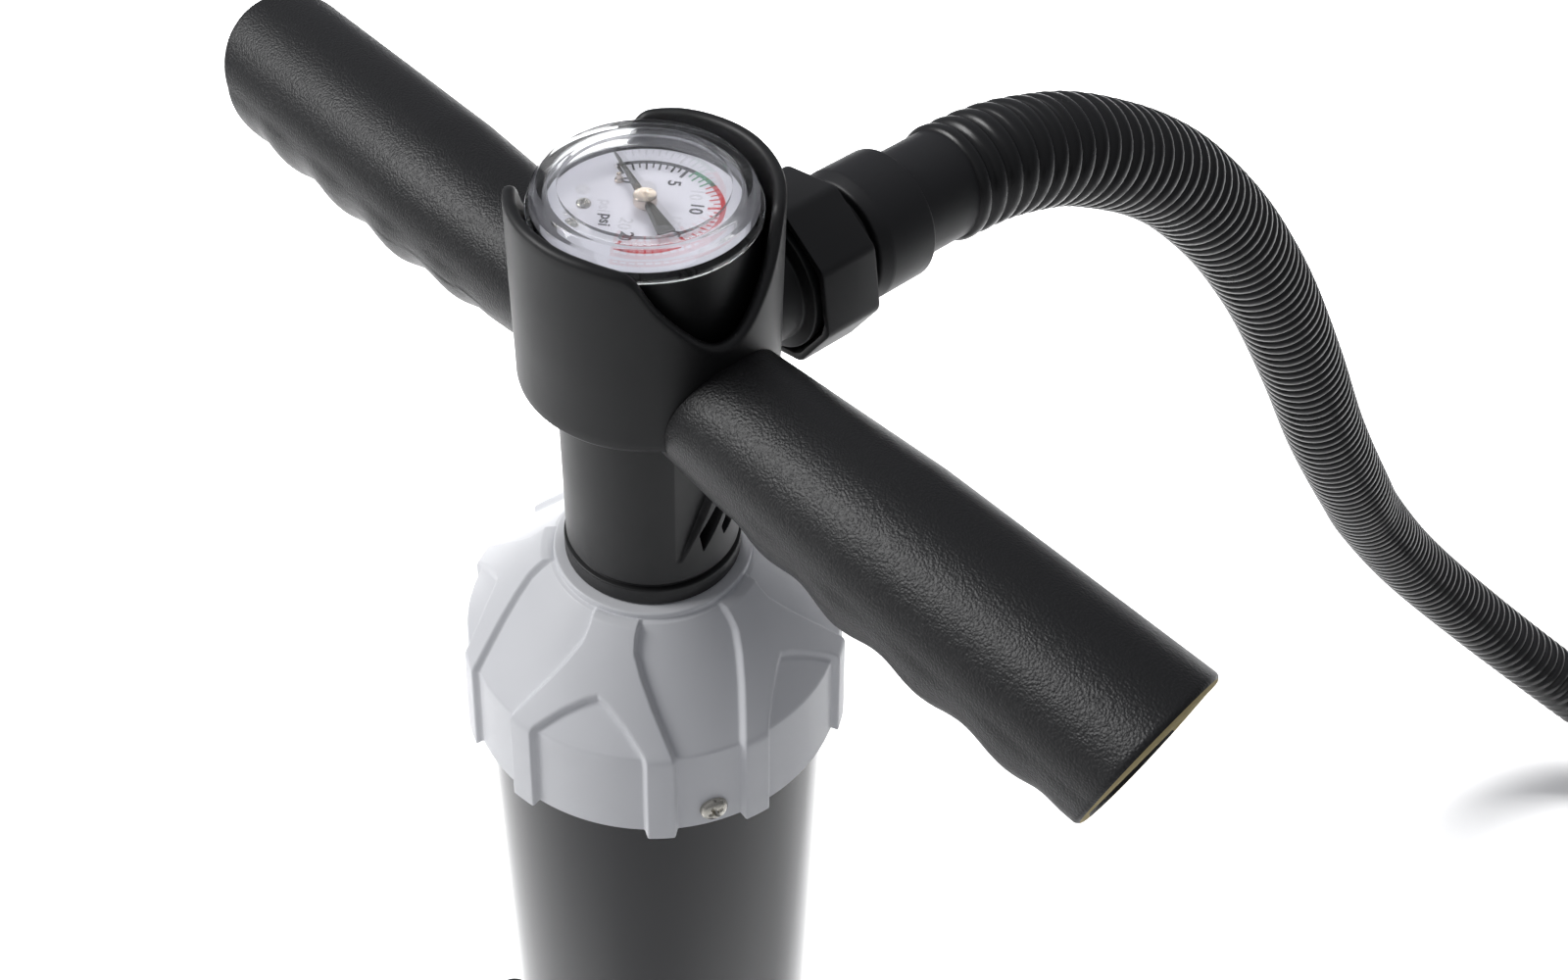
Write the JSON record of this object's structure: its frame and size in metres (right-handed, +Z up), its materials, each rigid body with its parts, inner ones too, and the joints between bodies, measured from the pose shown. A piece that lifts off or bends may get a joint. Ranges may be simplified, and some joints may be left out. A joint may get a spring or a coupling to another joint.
{
  "type": "two-handed high-pressure hand pump",
  "caption": "Upright hand pump with a T-handle, a pressure gauge in its head, a ribbed cap on a slim barrel, fold-up foot plates and a corrugated air hose.",
  "frame": {"origin": "middle of the base pad's underside, on the pump's axis", "axes": "+Z up along the barrel, the handle lies along X, the hose leaves the head towards +Y"},
  "size_m": [0.548, 0.681, 0.6214],
  "materials": {
    "black_plastic": "fine satin moulding",
    "charcoal_plastic": "satin moulding",
    "grey_plastic": "satin moulding",
    "barrel_gloss": "glossy extruded tube",
    "grip_rubber": "leather-grained",
    "black_rubber": "smooth",
    "hose_plastic": "corrugated, satin",
    "zinc_steel": "zinc plated",
    "rod_aluminium": "drawn and anodised",
    "natural_nylon": "machined",
    "brass": "turned",
    "nickel": "nickel plated",
    "dial_enamel": "printed white enamel",
    "pointer_enamel": "satin paint",
    "clear_lens": "clear moulding"
  },
  "bodies": {
    "pump_body": {"base_pad": "black_rubber", "base_plate": "charcoal_plastic", "base_seal": "black_rubber", "base_screws": "zinc_steel", "barrel": "barrel_gloss", "top_cap": "grey_plastic", "cap_screws": "zinc_steel", "cap_seal": "black_rubber", "guide_bush": "natural_nylon", "rod_wiper": "black_rubber", "hinge_pin_left": "zinc_steel", "hinge_pin_right": "zinc_steel", "hose_floor_run": "hose_plastic", "hose_cuff": "charcoal_plastic", "valve_nozzle": "black_plastic", "bayonet_ring": "charcoal_plastic", "nozzle_seal": "black_rubber"},
    "foot_left": {"foot_plate_left": "charcoal_plastic", "foot_tread_left": "black_rubber", "foot_pad_left": "black_rubber"},
    "foot_right": {"foot_plate_right": "charcoal_plastic", "foot_tread_right": "black_rubber", "foot_pad_right": "black_rubber"},
    "handle": {"piston_rod": "rod_aluminium", "piston": "natural_nylon", "piston_seal": "black_rubber", "piston_guide_ring": "natural_nylon", "rod_nut": "zinc_steel", "valve_seat": "brass", "bumper_ring": "black_rubber", "stem_sleeve": "black_plastic", "head_shroud": "black_plastic", "handle_core": "black_plastic", "grip_left": "grip_rubber", "grip_right": "grip_rubber", "gauge_case": "black_plastic", "gauge_stem": "brass", "bourdon_tube": "brass", "gauge_movement": "brass", "dial_plate": "dial_enamel", "dial_screws": "zinc_steel", "zero_pin": "zinc_steel", "gauge_lens": "clear_lens", "outlet_spigot": "black_plastic", "outlet_gasket": "black_rubber", "hose_connector": "charcoal_plastic", "hose_arch": "hose_plastic"},
    "check_valve": {"check_valve_disc": "black_rubber"},
    "gauge_pointer": {"pointer": "pointer_enamel", "pointer_hub": "nickel"},
    "hose_nut": {"union_nut": "black_plastic"}
  },
  "joints": [
    {"name": "handle_slide", "type": "slide", "parent": "pump_body", "child": "handle", "axis": [0, 0, 1], "range_m": [0, 0.4]},
    {"name": "foot_fold_left", "type": "hinge", "parent": "pump_body", "child": "foot_left", "pos_m": [-0.072, 0, 0.011], "axis": [0, 1, 0], "range_deg": [0, 90]},
    {"name": "foot_fold_right", "type": "hinge", "parent": "pump_body", "child": "foot_right", "pos_m": [0.072, 0, 0.011], "axis": [0, -1, 0], "range_deg": [0, 90]},
    {"name": "valve_lift", "type": "slide", "parent": "handle", "child": "check_valve", "axis": [0, 0, 1], "range_m": [0, 0.0016]},
    {"name": "pointer_turn", "type": "hinge", "parent": "handle", "child": "gauge_pointer", "pos_m": [0, 0, 0.624], "axis": [0, 0, -1], "range_deg": [0, 224], "stiffness_Nm_per_rad": 0.0005},
    {"name": "nut_turn", "type": "hinge", "parent": "handle", "child": "hose_nut", "pos_m": [0, 0.047, 0.5743], "axis": [0, 1, 0], "continuous": true}
  ]
}
